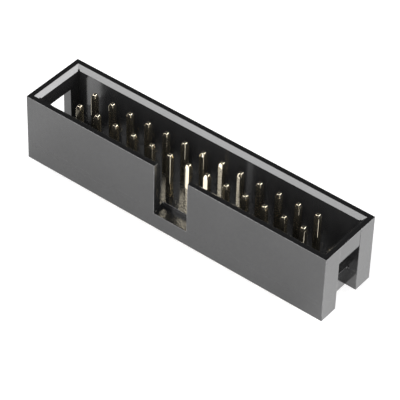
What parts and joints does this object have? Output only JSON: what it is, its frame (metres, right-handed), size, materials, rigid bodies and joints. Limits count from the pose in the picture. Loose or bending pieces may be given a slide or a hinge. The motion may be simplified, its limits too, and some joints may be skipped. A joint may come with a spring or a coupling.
{
  "type": "shrouded box header",
  "caption": "Shrouded box header for a ribbon cable socket: a black moulded housing with a key slot and end windows, and rows of square gold-plated contact pins.",
  "frame": {"origin": "middle of the contact grid on the circuit board's surface, which is the plane of the housing's feet", "axes": "+X along the rows of contacts, +Y away from the wall with the key slot, +Z away from the board, towards the mouth that takes the cable socket"},
  "size_m": [0.0406, 0.0086, 0.0118],
  "materials": {
    "housing": "black moulded thermoplastic, lightly glossy",
    "contacts": "thin gold plating on square wire"
  },
  "bodies": {
    "root": {"housing": "housing", "contact_pin_01": "contacts", "contact_pin_02": "contacts", "contact_pin_03": "contacts", "contact_pin_04": "contacts", "contact_pin_05": "contacts", "contact_pin_06": "contacts", "contact_pin_07": "contacts", "contact_pin_08": "contacts", "contact_pin_09": "contacts", "contact_pin_10": "contacts", "contact_pin_11": "contacts", "contact_pin_12": "contacts", "contact_pin_13": "contacts", "contact_pin_14": "contacts", "contact_pin_15": "contacts", "contact_pin_16": "contacts", "contact_pin_17": "contacts", "contact_pin_18": "contacts", "contact_pin_19": "contacts", "contact_pin_20": "contacts", "contact_pin_21": "contacts", "contact_pin_22": "contacts", "contact_pin_23": "contacts", "contact_pin_24": "contacts", "contact_pin_25": "contacts", "contact_pin_26": "contacts"}
  },
  "joints": []
}
